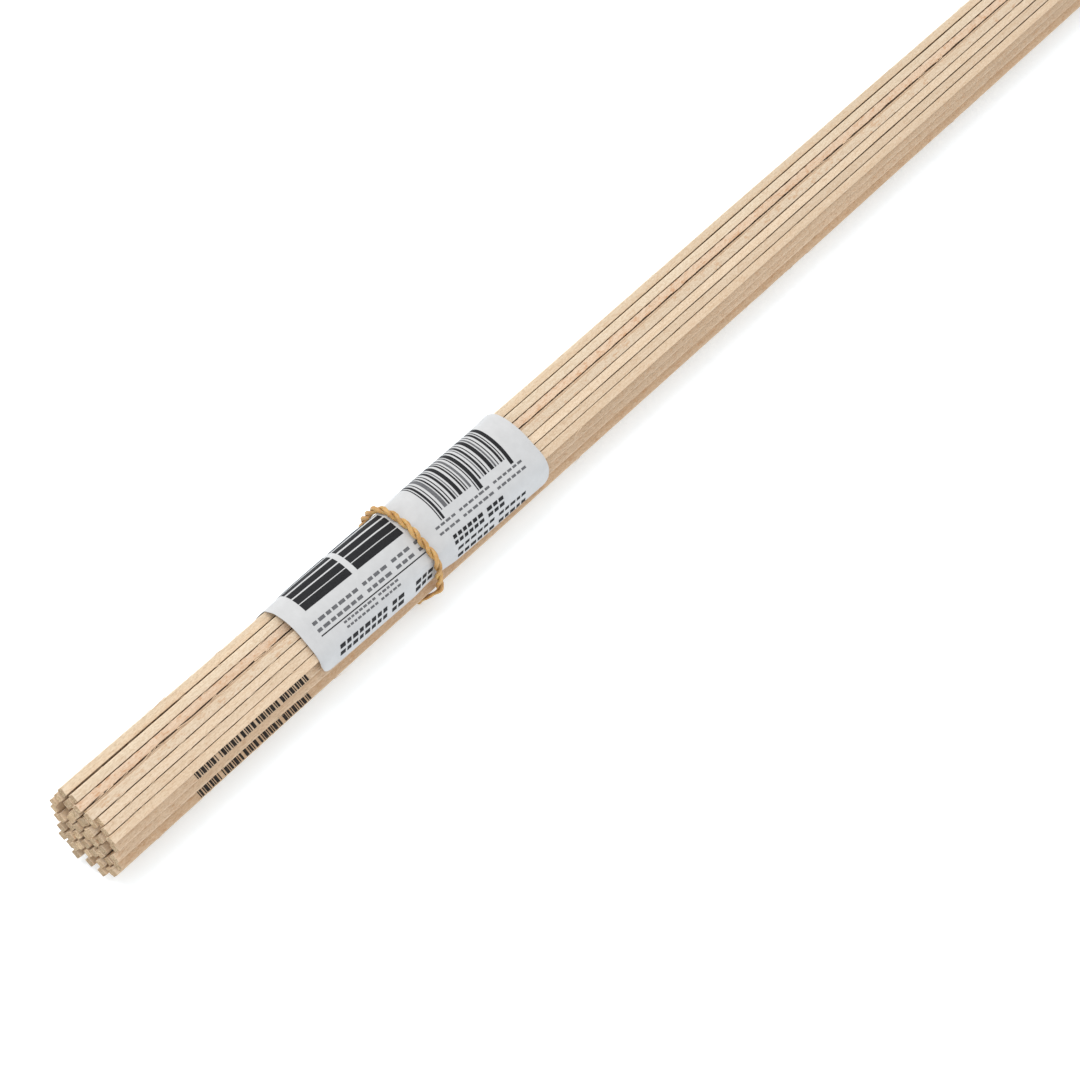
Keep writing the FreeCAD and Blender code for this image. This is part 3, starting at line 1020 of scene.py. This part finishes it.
def print_bars(black, grey):
    """Upright bars, mostly black and some grey, with longer ones at three places."""
    run = BARS_START
    number = 0
    guards = (BARS_START, (BARS_START + BARS_END) / 2, BARS_END - LAST_GUARD)
    while run < BARS_END:
        width = BAR_WIDTHS[number % len(BAR_WIDTHS)]
        guard = any(0 <= run - place < GUARD_SPAN for place in guards)
        ink = grey if number % GREY_EVERY == GREY_EVERY - 1 and not guard else black
        ink.mark(run, run + width, GUARD_BOTTOM if guard else BARS_BOTTOM, PRINT_TOP)
        run += width + BAR_GAPS[number % len(BAR_GAPS)]
        number += 1


def make_print():
    """The label's black print and its grey print, as one piece each."""
    draw = random.Random(SEED + 2)
    black = Print("print_black", (0.008, 0.008, 0.009), (0.020, 0.020, 0.022))
    grey = Print("print_grey", (0.10, 0.10, 0.105), (0.17, 0.17, 0.175))
    print_panels(black)
    black.mark(*RULE)
    for ink, *line in DASH_LINES:
        (grey if ink == "grey" else black).dashes(draw, *line)
    print_bars(black, grey)
    black.finish()
    grey.finish()


# ---------------- bands

BAND_PATH = rounded_loop(OUTLINE, BAND_BEND, BAND_LIFT, BAND_STEPS)


def low_shares(height, reach):
    """For each step of the band's path, 1 up to the height and 0 from the reach above it."""
    return [ease((cad_low.z + height + reach - z) / reach) for _, z in BAND_PATH]


def twist_angles(shares):
    """Where a trip begins, low on the bundle, and how far the pair has twisted at each step.

    It doesn't twist where it lies flat, and twists BAND_TURNS times over the rest.
    """
    first = max(range(BAND_STEPS), key=lambda step: (shares[step], shares[step - FLAT_MARGIN]))
    free = [1 - shares[(first + step) % BAND_STEPS] for step in range(BAND_STEPS)]
    total = sum(free)
    angles = [0.0] * BAND_STEPS
    passed = 0.0
    for step in range(BAND_STEPS):
        angles[(first + step) % BAND_STEPS] = TURN * BAND_TURNS * passed / total
        passed += free[step]
    return first, angles


def strand_section(width, thickness):
    """A rounded rectangle's points about its middle."""
    points = []
    for side in range(STRAND_SIDES):
        angle = TURN * side / STRAND_SIDES
        share_x = math.copysign(abs(math.cos(angle)) ** STRAND_SQUARENESS, math.cos(angle))
        share_r = math.copysign(abs(math.sin(angle)) ** STRAND_SQUARENESS, math.sin(angle))
        points.append((share_x * width / 2, share_r * thickness / 2))
    return points


def make_band(node, phase):
    """One closed loop that goes twice round the bundle, its two runs twisted together."""
    middle = BAND_MIDDLES[node]
    grounded = low_shares(GROUND_BELOW, GROUND_EASE)
    flat = low_shares(FLAT_BELOW - FLAT_EASE, FLAT_EASE)
    first, angles = twist_angles(flat)
    vertices = []
    for trip in range(2):
        for count in range(BAND_STEPS):
            step = (first + count) % BAND_STEPS
            share = flat[step]
            angle = angles[step] + trip * math.pi
            here, outward = on_loop(BAND_PATH, step)
            slant = BAND_SLANT * math.sin(TURN * step / BAND_STEPS + phase)
            stray = noise.noise(Vector((step / WOBBLE_STEPS, STRANDS_APART * trip, phase)))
            shift = slant + BAND_WOBBLE * stray
            thickness = STRAND_THICKNESS + (FLAT_THICKNESS - STRAND_THICKNESS) * share
            thickness += (UNDERSIDE_THICKNESS - FLAT_THICKNESS) * grounded[step]
            side = (STRAND_THICKNESS / 2 + STRAND_GAP) * (1 - share) + STRAND_WIDTH / 2 * share
            out = math.sin(angle) * side * (1 - share) + (FLAT_LIFT - BAND_LIFT) * share
            along = math.cos(angle) * side
            # Under the bundle the pair lies flat on the ground.
            rest = cad_low.z + thickness / 2 - here[1] - outward[1] * out
            turned = angle + math.pi / 2 * (1 - share)
            for across, radial in strand_section(STRAND_WIDTH, thickness):
                dx = across * math.cos(turned) - radial * math.sin(turned)
                dr = across * math.sin(turned) + radial * math.cos(turned)
                y = here[0] + outward[0] * (out + dr)
                z = here[1] + outward[1] * (out + dr) + rest * grounded[step]
                vertices.append((middle + shift + along + dx, y, max(z, cad_low.z)))
    faces = grid_faces(2 * BAND_STEPS, STRAND_SIDES, True, True)
    mesh = bpy.data.meshes.new("twisted_" + node)
    mesh.from_pydata(vertices, [], faces)
    smooth_mesh(mesh)
    return mesh


def make_bands():
    """The two rubber bands, each on the body of its own CAD ring."""
    rubber = rubber_material()
    for number, node in enumerate(sorted(BAND_MIDDLES)):
        band = new_object("twisted_" + node, make_band(node, BAND_PHASE + number), rubber)
        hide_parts(node)
        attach(band, node)


# ---------------- studio

def make_camera():
    """The photograph's point of view."""
    data = bpy.data.cameras.new("camera")
    data.lens = CAMERA_LENS
    data.sensor_width = SENSOR_WIDTH
    data.clip_start, data.clip_end = CAMERA_CLIP
    camera = bpy.data.objects.new("camera", data)
    bpy.context.scene.collection.objects.link(camera)
    near_end = Vector((cad_low.x, 0, (cad_low.z + cad_high.z) / 2))
    camera.location = near_end + Vector(CAMERA_FROM_NEAR_END)
    pitch = math.radians(90 - CAMERA_PITCH_DOWN)
    camera.rotation_euler = (pitch, 0, math.radians(CAMERA_HEADING - 90))
    bpy.context.scene.camera = camera


def make_floor():
    """The white table top under the bundle."""
    signs = ((-1, -1), (1, -1), (1, 1), (-1, 1))
    corners = [(FLOOR_HALF * x, FLOOR_HALF * y, 0) for x, y in signs]
    mesh = bpy.data.meshes.new("floor")
    mesh.from_pydata(corners, [], [(0, 1, 2, 3)])
    floor = new_object("floor", mesh, floor_material())


def make_sky():
    """Light from all round, and colours shown as they are."""
    world = bpy.data.worlds.new("studio")
    bpy.context.scene.world = world
    world.use_nodes = True
    background = world.node_tree.nodes["Background"]
    background.inputs["Color"].default_value = (*SKY_COLOUR, 1)
    background.inputs["Strength"].default_value = SKY_STRENGTH
    bpy.context.scene.view_settings.view_transform = "Standard"


def make_key_light():
    """One soft round light, high up on the side away from the camera."""
    data = bpy.data.lights.new("key", "AREA")
    data.shape = "DISK"
    data.size = KEY_SIZE
    data.energy = KEY_POWER
    light = bpy.data.objects.new("key", data)
    bpy.context.scene.collection.objects.link(light)
    light.location = KEY_PLACE
    way = Vector(KEY_TARGET) - Vector(KEY_PLACE)
    light.rotation_euler = way.to_track_quat("-Z", "Y").to_euler()


strips = make_strips()
stamp_bars(strips)
make_fibres(strips)
make_label()
make_print()
make_bands()
make_camera()
make_floor()
make_sky()
make_key_light()
